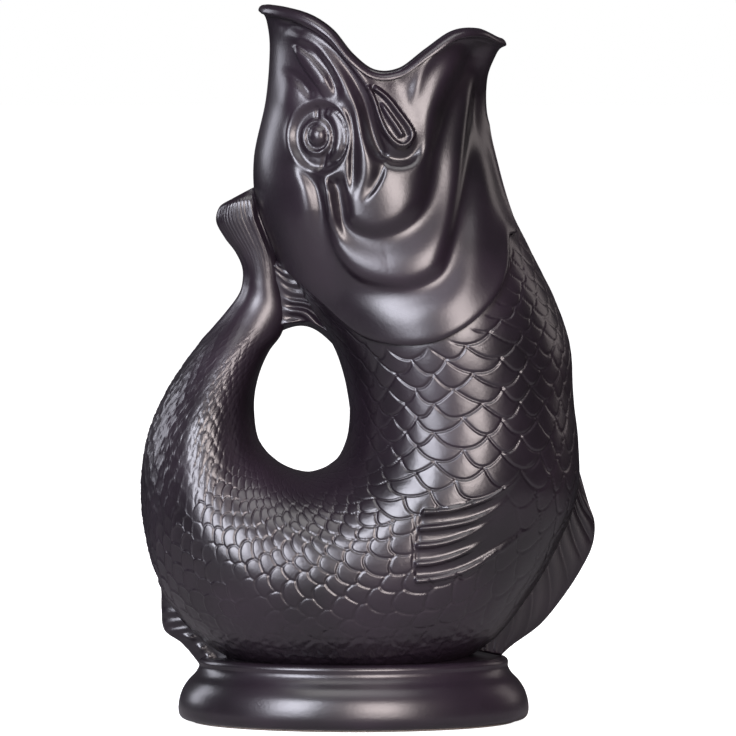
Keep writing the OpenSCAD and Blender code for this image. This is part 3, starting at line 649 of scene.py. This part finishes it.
def body_relief(points, s, a):
    """Height of scales and fins over the body's smooth skin, in metres."""
    p = seen_px(points)
    deep = np.interp(s, SCALE_STATIONS, SCALE_DEPTHS) * scale_share(points, s, a)
    sunk = smooth(s, *SUNK_STATIONS) * (1 - smooth(half_turn(a), *SUNK_TURNS))
    scales = scale_height(s, a)
    h = ((scales - 1) * (1 - sunk) - SUNK_SHARE * scales * sunk) * deep
    on_flank = smooth(s, *FIN_FROM) * (1 - smooth(s, *FIN_TO))
    side_fin, cover = side_fin_relief(p)
    h = h * (1 - FIN_HIDES * cover * on_flank) + side_fin * on_flank
    h += MARK_HIGH * soft_noise(points, MARK_WAVES) * (1 - smooth(points[..., 2], *MARK_HEIGHTS))
    h += lobe_relief(p, s, a)
    past_gill = (s - gill_station(a)) * BODY_STATION
    h -= FURROW_DEEP * np.exp(-past_gill / FURROW_LONG) * (s < FURROW_END)
    return h * MM


def placed(name, data):
    """A new object in the scene."""
    thing = bpy.data.objects.new(name, data)
    bpy.context.scene.collection.objects.link(thing)
    return thing


def new_mesh(name, bm):
    """A mesh made from bm, which it frees."""
    mesh = bpy.data.meshes.new(name)
    bm.to_mesh(mesh)
    bm.free()
    return mesh


def even_turns(count, crowd):
    """Turns round the fish, closer together on its two sides where crowd is above 0."""
    a = np.linspace(0, 2 * math.pi, count + 1)
    return a + crowd * np.sin(2 * a) / 2


# Points closer than this at a seam or an end become one, and edges shorter than this are dropped
WELD = 1e-7
SHORTEST_EDGE = 1e-9


def grid_piece(name, rows, columns, locate, sharp_rows=()):
    """A grid of rows by columns moved into place by locate, with its seam and ends welded."""
    bm = bmesh.new()
    bmesh.ops.create_grid(bm, x_segments=columns, y_segments=rows, size=1)
    mesh = new_mesh(name, bm)
    co = np.empty(len(mesh.vertices) * 3)
    mesh.vertices.foreach_get("co", co)
    co = co.reshape(-1, 3)
    i = np.rint((co[:, 1] + 1) / 2 * rows).astype(int)
    j = np.rint((co[:, 0] + 1) / 2 * columns).astype(int)
    mesh.vertices.foreach_set("co", locate(i, j).astype(np.float32).ravel())
    if sharp_rows:
        pairs = np.empty(len(mesh.edges) * 2, int)
        mesh.edges.foreach_get("vertices", pairs)
        ends_row = i[pairs.reshape(-1, 2)]
        sharp = np.isin(ends_row[:, 0], sharp_rows) & (ends_row[:, 0] == ends_row[:, 1])
        mesh.attributes.new("sharp_edge", "BOOLEAN", "EDGE").data.foreach_set("value", sharp)
    bm = bmesh.new()
    bm.from_mesh(mesh)
    bm.verts.ensure_lookup_table()
    rim = [bm.verts[k] for k in np.nonzero((i == 0) | (i == rows) | (j == 0) | (j == columns))[0]]
    bmesh.ops.remove_doubles(bm, verts=rim, dist=WELD)
    bmesh.ops.dissolve_degenerate(bm, dist=SHORTEST_EDGE, edges=bm.edges[:])
    bmesh.ops.recalc_face_normals(bm, faces=bm.faces[:])
    for face in bm.faces:
        face.smooth = True
    bm.to_mesh(mesh)
    bm.free()
    piece = placed(name, mesh)
    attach(piece, "root")
    return piece


# How far both skins draw back under the rounded lip at even turns from the throat to the nape,
# and the stations over which they do
LIP_DROPS = np.array([1.2, 1.6, 2.8, 3.7, 2.6, 2.0, 2.0, 2.0, 2.0]) * MM
LIP_DROP_REACH = 0.7
# Shares of the wall that the rows over the lip have passed
LIP_ROWS = np.array([0.03, 0.12, 0.3, 0.5, 0.7, 0.88, 0.97])
# Points round the fish, rows of the outer skin and rows of the inner one
HEAD_MESH = (370, 244, 17)
BODY_MESH = (470, 190, 9)
TAIL_MESH = (400, 226, 12)
# How closely the points crowd on the fish's two sides
HEAD_CROWD = 0.5
BODY_CROWD = 0.2


def fish_shell(name, outer, inner, turns, station, relief, lip=(), bend=None):
    """A closed wall: out along the outer skin, over a lip or an end, and back along the inner one.

    outer and inner are places along the piece, station turns a place and a turn into a station.
    """
    places = np.concatenate([outer, np.full(len(lip), outer[-1]), inner, [outer[0]]])
    depths = np.concatenate([0 * outer, lip, 0 * inner + 1, [0]])
    rows = len(places) - 1
    sharp = [0, rows - 1, rows]
    if not len(lip):
        sharp += [len(outer) - 1, len(outer)]

    def locate(i, j):
        a = turns[j]
        t, depth = places[i], depths[i]
        s = station(t, a)
        wall = wall_at(s)
        points = skin(s, a, wall * depth)
        smooth_skin = skin(s, a)
        height = relief(smooth_skin, t, s, a)
        points[:, 2] += (wall + height) * np.sqrt(np.clip(depth * (1 - depth), 0, 1))
        if len(lip):
            points[:, 2] -= at_turn(LIP_DROPS, a) * np.exp(-((s / LIP_DROP_REACH) ** 2))
        moved = height * (1 - depth) + (bend(smooth_skin) if bend else 0)
        return points + outward(s, a) * moved[:, None]

    return grid_piece(name, rows, len(turns) - 1, locate, sharp)


def head():
    """The head with its gill covers, lips and open mouth."""
    round_count, outer_rows, inner_rows = HEAD_MESH
    piece = fish_shell(
        "head_casting", np.linspace(1, 0, outer_rows), np.linspace(0, 1, inner_rows),
        even_turns(round_count, HEAD_CROWD),
        lambda t, a: t * gill_station(a),
        lambda points, t, s, a: head_relief(points, t, a),
        LIP_ROWS, web_bend,
    )
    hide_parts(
        "head", "jaws", "eye_left", "eye_right", "jaw_end_left", "jaw_end_right"
    )
    return piece


def body_part(name, start, end, station):
    """A part of the scaled body between two places along it."""
    round_count, outer_rows, inner_rows = BODY_MESH
    return fish_shell(
        name, np.linspace(start, end, outer_rows), np.linspace(end, start, inner_rows),
        even_turns(round_count, BODY_CROWD), station,
        lambda points, t, s, a: body_relief(points, s, a),
    )


def flank():
    """The breast: its front end follows the gill covers."""
    def station(t, a):
        g = gill_station(a)
        return g + (FLANK_END - g) * t

    piece = body_part("flank_casting", 0, 1, station)
    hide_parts("breast")
    return piece


def tail():
    """The hollow tail, closed at both ends: it grows into the upper lobe of its fin."""
    round_count, outer_rows, inner_rows = TAIL_MESH
    turns = even_turns(round_count, BODY_CROWD)
    outer = np.linspace(TAIL_END, REAR_END, outer_rows)
    inner = np.linspace(REAR_END, HOLLOW_END, inner_rows)
    places = np.concatenate([[TAIL_END], outer, inner, [HOLLOW_END]])
    depths = np.concatenate([[0], 0 * outer, 0 * inner + 1, [1]])
    rows = len(places) - 1
    pole = np.zeros(rows + 1, bool)
    pole[[0, -1]] = True

    def locate(i, j):
        a = turns[j]
        s, depth = places[i], depths[i]
        points = skin(s, a, wall_at(s) * depth)
        height = body_relief(skin(s, a), s, a) * (1 - depth)
        points = points + outward(s, a) * height[:, None]
        centre = (skin(s, 0 * a) + skin(s, 0 * a + math.pi)) / 2
        return np.where(pole[i][:, None], centre, points)

    piece = grid_piece("tail_casting", rows, round_count, locate, [len(outer), len(outer) + 1])
    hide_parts("tail", "tail_fin")
    return piece


def px_to_mid(points):
    """Places in the jug's middle plane for points of the photograph, in metres."""
    points = np.asarray(points, float)
    x = (points[..., 0] - CENTRE_PX) * PIXEL
    z = FOOT_H + (FOOT_TOP_PX - points[..., 1]) * PIXEL
    return x, z


def fin(name, root, edge, rows, columns, thick, relief, bow=0):
    """A fin in the middle plane: out on one side, round its edge and back on the other.

    thick and relief give metres at a share w from root to edge and a share v down the fin.
    """
    across = np.concatenate([np.linspace(0, 1, rows + 1), np.linspace(1, 0, rows + 1)[1:]])
    side = np.concatenate([np.full(rows, -1.0), [0.0], np.full(rows, 1.0)])
    u = np.linspace(0, 1, columns + 1)

    def locate(i, j):
        v = u[j]
        # Rows lie closer together towards the free edge
        w = 1 - (1 - across[i]) ** 1.5
        r = along(np.asarray(root, float), v * (len(root) - 1))
        e = along(np.asarray(edge, float), v * (len(edge) - 1))
        seen = r + (e - r) * w[:, None]
        seen[:, 1] -= bow * np.sin(math.pi * w) * v**3
        x, z = px_to_mid(seen)
        y = (thick(w, v) / 2 + relief(w, v)) * side[i]
        return np.stack([x, y, z], -1)

    return grid_piece(name, len(across) - 1, columns, locate)


def fin_thickness(w, v, at_root, at_edge, at_ends, lead, tail):
    """Thickness of a fin in metres, from millimetres at root and edge and a share at its ends."""
    return (at_root + (at_edge - at_root) * w) * MM * (at_ends + (1 - at_ends) * ends(v, lead, tail))


def round_edge(w, power):
    """1 over most of a fin and 0 at its free edge, rounder for a lower power."""
    return np.sqrt(np.clip(1 - w**power, 0, 1))


def breast_fin():
    """The long fin down the front, with broad slanting bands."""
    root = [(570, 460), (570, 480), (566, 500), (555, 524), (541, 552), (526, 578), (508, 604),
            (490, 626), (478, 640), (470, 650)]
    edge = [(577, 462), (583, 483), (589, 504), (595, 523), (593, 545), (583, 567), (566, 594),
            (541, 625), (513, 646), (501, 657)]
    bands, slant, sharpness = 9.5, 3.2, 0.7
    high, low = 0.62, 0.34

    def thick(w, v):
        return fin_thickness(w, v, 7.5, 2.9, 0.25, 0.08, 0.03) * round_edge(w, 10)

    def ribs(w, v):
        band = np.abs(np.sin((v * bands - w * slant) * math.pi)) ** sharpness
        fade = smooth(w, 0.05, 0.3) * (1 - smooth(w, 0.9, 1)) * ends(v, 0.08, 0.04)
        return (high * band - low) * MM * fade

    piece = fin("breast_fin_casting", root, edge, 40, 300, thick, ribs)
    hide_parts("breast_fin")
    return piece


def vent_fin():
    """The small fin low at the back, with beads along its lower edge."""
    root = [(176, 575), (180, 592), (188, 608), (200, 624), (212, 636), (222, 646), (230, 656)]
    edge = [(156, 570), (160.6, 590), (161, 610), (164, 631), (181, 644), (195, 660), (202, 671)]
    beads_at, bead_across, bead_high, bead_size = (0.62, 0.76, 0.87, 0.97), 0.62, 1.3, 0.75
    rays_at, ray_high, ray_size = (0.36, 0.44, 0.52), 0.5, 0.8

    def thick(w, v):
        return fin_thickness(w, v, 9.5, 3.0, 0.3, 0.1, 0.02) * round_edge(w, 8)

    def beads(w, v):
        h = 0 * w
        for place in beads_at:
            h = h + bead_high * bump(np.hypot((v - place) * 14, (w - bead_across) * 4.2), bead_size)
        for place in rays_at:
            h = h + ray_high * bump((v - place) * 26, ray_size) * smooth(w, 0.2, 0.5)
        return h * MM * (1 - smooth(w, 0.92, 1))

    piece = fin("vent_fin_casting", root, edge, 30, 160, thick, beads)
    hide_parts("vent_fin")
    return piece


def tail_web():
    """The lower lobe of the tail fin: curved ribs from the tail's end to the nape."""
    root = [(266, 254), (272, 266), (277, 280), (281, 296), (282, 312), (279, 332)]
    edge = [(276, 250), (292, 264), (312, 282), (328, 300), (338, 322), (340, 352)]
    count, curve, waver = 7, 1.3, 0.16
    low, rise = 0.22, 0.50

    def thick(w, v):
        return fin_thickness(w, v, 15, 20, 0.15, 0.2, 0.1)

    def ribs(w, v):
        phase = v * count - curve * np.sin(w * 2.2) + waver * np.sin(w * 9 + v * 5)
        high = low + rise * smooth(v, 0.55, 0.85)
        return high * MM * np.cos(phase * 2 * math.pi) * ends(v, 0.25, 0.08) * smooth(w, 0, 0.2)

    return fin("tail_web_casting", root, edge, 40, 200, thick, ribs, bow=15)


OVAL_COUNT = 320
# The foot's outside from its lower edge up, and its underside: share of the outline, share of height
FOOT_SIDE = [
    (0.90, 0.045), (0.950, 0.035), (0.978, 0.055), (0.993, 0.10), (1.0, 0.18), (0.999, 0.28),
    (0.991, 0.40), (0.974, 0.53), (0.944, 0.66), (0.907, 0.77), (0.888, 0.85), (0.882, 0.90),
    (0.882, 0.94), (0.882, 0.98), (0.874, 1.02), (0.856, 1.045), (0.83, 1.05), (0.80, 1.04),
    (0.77, 1.035), (0.74, 1.05), (0.69, 1.08), (0.62, 1.12),
]
FOOT_UNDER = [
    (0.30, 0.60), (0.0, 0.40), (0.30, 0.40), (0.60, 0.40), (0.76, 0.39), (0.82, 0.34), (0.85, 0.25),
    (0.86, 0.06),
]
FOOT_ROWS = 140


def oval_loft(name, profile):
    """An oval turned piece: profile rows are outline shares and heights, closed into a ring."""
    profile = np.asarray(profile, float)
    turns = np.linspace(0, 2 * math.pi, OVAL_COUNT + 1)

    def locate(i, j):
        share, z = profile[i, 0], profile[i, 1]
        x = np.cos(turns[j]) * FOOT_L / 2 * share
        y = np.sin(turns[j]) * (FOOT_W / 2 - (1 - share) * FOOT_L / 2)
        return np.stack([x, np.where(share == 0, 0, y), z], -1)

    return grid_piece(name, len(profile) - 1, OVAL_COUNT, locate)


def foot():
    """The glazed foot with its waist, hollow underneath."""
    line = along(np.array(FOOT_SIDE), np.linspace(0, len(FOOT_SIDE) - 1, FOOT_ROWS))
    profile = np.concatenate([line, FOOT_UNDER, line[:1]])
    profile[:, 1] *= FOOT_H
    piece = oval_loft("foot_casting", profile)
    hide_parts("foot")
    return piece


def foot_ring():
    """The bare ring that the jug stands on: shares of the outline, and heights in metres."""
    inner, outer, soft, flat = 0.86, 0.935, 0.004, 0.012
    bevel, side, lip, top = 0.0003, 0.0010, 0.0018, 0.0022
    piece = oval_loft("foot_ring_bare", [
        (outer, lip), (outer, side), (outer - soft, bevel), (outer - flat, 0), (inner + flat, 0),
        (inner + soft, bevel), (inner, side), (inner, top), (outer, top), (outer, lip),
    ])
    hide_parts("foot_ring")
    return piece


def add(tree, kind, **values):
    """A new node with its properties set."""
    node = tree.nodes.new(kind)
    for key, value in values.items():
        setattr(node, key, value)
    return node


def fill(node, **values):
    """Sets a node's inputs, whose names have _ for a space."""
    for key, value in values.items():
        node.inputs[key.replace("_", " ")].default_value = value


def empty_tree(owner):
    """The node tree of a material or world, emptied."""
    owner.use_nodes = True
    owner.node_tree.nodes.clear()
    return owner.node_tree


def mottle_group():
    """Shared mottling of a fired surface: a slow cloud and a fine grain, 0 to 1."""
    group = bpy.data.node_groups.new("fired mottle", "ShaderNodeTree")
    for way, names in (("INPUT", ("Cloud size", "Grain size")), ("OUTPUT", ("Cloud", "Grain"))):
        for name in names:
            group.interface.new_socket(name, in_out=way, socket_type="NodeSocketFloat")
    take = add(group, "NodeGroupInput")
    give = add(group, "NodeGroupOutput")
    where = add(group, "ShaderNodeTexCoord")
    for size, out, detail in (("Cloud size", "Cloud", 4.0), ("Grain size", "Grain", 2.0)):
        noise = add(group, "ShaderNodeTexNoise")
        noise.inputs["Detail"].default_value = detail
        group.links.new(where.outputs["Object"], noise.inputs["Vector"])
        group.links.new(take.outputs[size], noise.inputs["Scale"])
        group.links.new(noise.outputs["Fac"], give.inputs[out])
    return group


def ramp(tree, source, low, high, first, second):
    """A value that goes from first to second as the source goes from low to high."""
    node = add(tree, "ShaderNodeMapRange")
    fill(node, From_Min=low, From_Max=high, To_Min=first, To_Max=second)
    tree.links.new(source, node.inputs["Value"])
    return node.outputs["Result"]


# Range of the cloud over which the roughness changes
ROUGH_CLOUD = (0.3, 0.7)
GLAZE_COLOURS = (0.0058, 0.0044, 0.0062, 1), (0.0150, 0.0092, 0.0152, 1)
CLAY_COLOURS = (0.50, 0.42, 0.36, 1), (0.72, 0.64, 0.58, 1)


def fired_surface(name, mottle, cloud, grain, colours, colour_by, roughness, tooth):
    """A mottled fired surface, and its shader node for what one finish has alone.

    colour_by is the mottling that mixes the two colours and its range, roughness the least and the
    most, tooth the bump's strength and distance.
    """
    material = bpy.data.materials.new(name)
    tree = empty_tree(material)
    shader = add(tree, "ShaderNodeBsdfPrincipled")
    out = add(tree, "ShaderNodeOutputMaterial")
    tree.links.new(shader.outputs["BSDF"], out.inputs["Surface"])
    fired = add(tree, "ShaderNodeGroup", node_tree=mottle)
    fill(fired, Cloud_size=cloud, Grain_size=grain)
    colour = add(tree, "ShaderNodeMix", data_type="RGBA")
    fill(colour, A=colours[0], B=colours[1])
    output, low, high = colour_by
    tree.links.new(ramp(tree, fired.outputs[output], low, high, 0, 1), colour.inputs["Factor"])
    tree.links.new(colour.outputs["Result"], shader.inputs["Base Color"])
    rough = ramp(tree, fired.outputs["Cloud"], *ROUGH_CLOUD, *roughness)
    tree.links.new(rough, shader.inputs["Roughness"])
    relief = add(tree, "ShaderNodeBump")
    fill(relief, Strength=tooth[0], Distance=tooth[1])
    tree.links.new(fired.outputs["Grain"], relief.inputs["Height"])
    tree.links.new(relief.outputs["Normal"], shader.inputs["Normal"])
    return material, shader


def black_glaze(mottle):
    """Satin black glaze, faintly clouded with purple brown, under a thin clear coat."""
    material, shader = fired_surface(
        "satin black glaze", mottle, 22.0, 900.0, GLAZE_COLOURS, ("Cloud", 0.35, 0.7),
        (0.27, 0.35), (0.12, 0.0003),
    )
    fill(shader, Coat_Weight=0.12, Coat_Roughness=0.2, IOR=1.52)
    return material


def bare_clay(mottle):
    """Unglazed ring: pale fired clay with a fine tooth and a few darker specks."""
    material, _ = fired_surface(
        "bare fired clay", mottle, 60.0, 2600.0, CLAY_COLOURS, ("Grain", 0.4, 0.6),
        (0.75, 0.9), (0.35, 0.0002),
    )
    return material


def show_camera(tree, seen, mirrored, output_kind):
    """Gives the camera one shader and all other rays another."""
    path = add(tree, "ShaderNodeLightPath")
    mix = add(tree, "ShaderNodeMixShader")
    out = add(tree, output_kind)
    tree.links.new(path.outputs["Is Camera Ray"], mix.inputs["Fac"])
    tree.links.new(mirrored, mix.inputs[1])
    tree.links.new(seen, mix.inputs[2])
    tree.links.new(mix.outputs["Shader"], out.inputs["Surface"])


FLOOR_RADIUS = 9.0
FLOOR_GREY = (0.9, 0.9, 0.9, 1)
# What the glaze mirrors of the floor: a dull table, which ends over these distances in metres to
# both sides and behind, and a dim ground elsewhere
TABLE_COLOUR = (0.38, 0.37, 0.38, 1)
GROUND_COLOUR = (0.05, 0.05, 0.055, 1)
TABLE_SIDES = (0.35, 0.8)
TABLE_BACK = (-0.05, 0.25)


def stage_material():
    """Pale floor, which the glaze mirrors as a dull table that ends beside and behind the jug."""
    material = bpy.data.materials.new("pale floor")
    tree = empty_tree(material)
    pale = add(tree, "ShaderNodeBsdfPrincipled")
    fill(pale, Base_Color=FLOOR_GREY, Roughness=0.9, Specular_IOR_Level=0.1,
         Emission_Color=(1, 1, 1, 1), Emission_Strength=0.97)
    ground = add(tree, "ShaderNodeBsdfDiffuse")
    fill(ground, Color=GROUND_COLOUR)
    dull = add(tree, "ShaderNodeBsdfDiffuse")
    fill(dull, Color=TABLE_COLOUR)
    where = add(tree, "ShaderNodeTexCoord")
    split = add(tree, "ShaderNodeSeparateXYZ")
    tree.links.new(where.outputs["Object"], split.inputs["Vector"])
    beside_jug = add(tree, "ShaderNodeMath", operation="ABSOLUTE")
    tree.links.new(split.outputs["X"], beside_jug.inputs[0])
    table = add(tree, "ShaderNodeMath", operation="MULTIPLY")
    tree.links.new(ramp(tree, beside_jug.outputs["Value"], *TABLE_SIDES, 1, 0), table.inputs[0])
    tree.links.new(ramp(tree, split.outputs["Y"], *TABLE_BACK, 1, 0), table.inputs[1])
    mirrored = add(tree, "ShaderNodeMixShader")
    tree.links.new(table.outputs["Value"], mirrored.inputs["Fac"])
    tree.links.new(ground.outputs["BSDF"], mirrored.inputs[1])
    tree.links.new(dull.outputs["BSDF"], mirrored.inputs[2])
    show_camera(tree, pale.outputs["BSDF"], mirrored.outputs["Shader"], "ShaderNodeOutputMaterial")
    return material


def stage():
    """Pale flat floor, seen from any side."""
    bm = bmesh.new()
    bmesh.ops.create_circle(bm, cap_ends=True, segments=96, radius=FLOOR_RADIUS)
    floor = placed("floor", new_mesh("floor", bm))
    floor.data.materials.append(stage_material())


COOL, WARM, NEUTRAL = (0.89, 0.89, 1.0), (1.0, 0.885, 0.87), (1.0, 0.98, 0.98)
# Name, place and size in metres, power in watts, colour
SOFTBOXES = [
    ("cool_softbox", (-1.02, -1.58, 1.02), (0.72, 1.00), 50, COOL),
    ("low_cool_softbox", (-1.02, -1.58, 0.34), (0.72, 0.30), 7.5, COOL),
    ("warm_softbox", (0.75, -3.05, 1.42), (1.20, 1.40), 105, WARM),
    ("low_warm_softbox", (0.75, -3.05, 0.42), (1.20, 0.36), 19, WARM),
    ("top_softbox", (0.0, -0.5, 1.6), (1.2, 0.8), 12, NEUTRAL),
    ("left_softbox", (-1.6, 0.8, 0.7), (0.6, 0.9), 9, COOL),
    ("right_softbox", (1.6, 0.9, 0.7), (0.6, 0.9), 2.4, WARM),
]
LIGHT_AIM = Vector((0, 0, 0.13))
# The studio's walls: white to the camera, and dim in everything else
FILL_COLOUR, FILL_STRENGTH = (0.98, 0.90, 1.0, 1), 0.053


def lights():
    """Cool light on the left, warm light on the right, and a dim room."""
    for name, at, size, power, colour in SOFTBOXES:
        light = bpy.data.lights.new(name, "AREA")
        light.shape = "RECTANGLE"
        light.size, light.size_y = size
        light.energy = power
        light.color = colour
        lamp = placed(name, light)
        lamp.location = at
        lamp.rotation_euler = (LIGHT_AIM - Vector(at)).to_track_quat("-Z", "Y").to_euler()
    world = bpy.data.worlds.new("studio")
    bpy.context.scene.world = world
    tree = empty_tree(world)
    dim = add(tree, "ShaderNodeBackground")
    fill(dim, Color=FILL_COLOUR, Strength=FILL_STRENGTH)
    white = add(tree, "ShaderNodeBackground")
    fill(white, Color=(1, 1, 1, 1), Strength=1.0)
    show_camera(tree, white.outputs["Background"], dim.outputs["Background"], "ShaderNodeOutputWorld")
    bpy.context.scene.view_settings.view_transform = "Standard"


def camera():
    """The photograph's view: one of its pixels to one of the picture."""
    data = bpy.data.cameras.new("camera")
    data.sensor_width = SENSOR
    data.lens = (AIM - EYE_POINT).length / (PIXEL * PHOTO_PX) * SENSOR
    data.clip_start, data.clip_end = CLIP
    eye = placed("camera", data)
    eye.location = EYE_POINT
    eye.rotation_euler = (AIM - EYE_POINT).to_track_quat("-Z", "Y").to_euler()
    bpy.context.scene.camera = eye


def build():
    """All pieces, each with its glaze or bare clay."""
    mottle = mottle_group()
    glaze, clay = black_glaze(mottle), bare_clay(mottle)
    belly = body_part("belly_casting", FLANK_END, BELLY_END, lambda t, a: t + 0 * a)
    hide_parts("belly", "side_fin_left", "side_fin_right")
    rear = body_part("rear_casting", BELLY_END, REAR_END, lambda t, a: t + 0 * a)
    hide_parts("rear_body")
    glazed = [
        head(), flank(), belly, rear, tail(), tail_web(), breast_fin(), vent_fin(), foot(),
    ]
    for piece in glazed:
        piece.data.materials.append(glaze)
    ring = foot_ring()
    ring.data.materials.append(clay)


camera()
lights()
stage()
build()
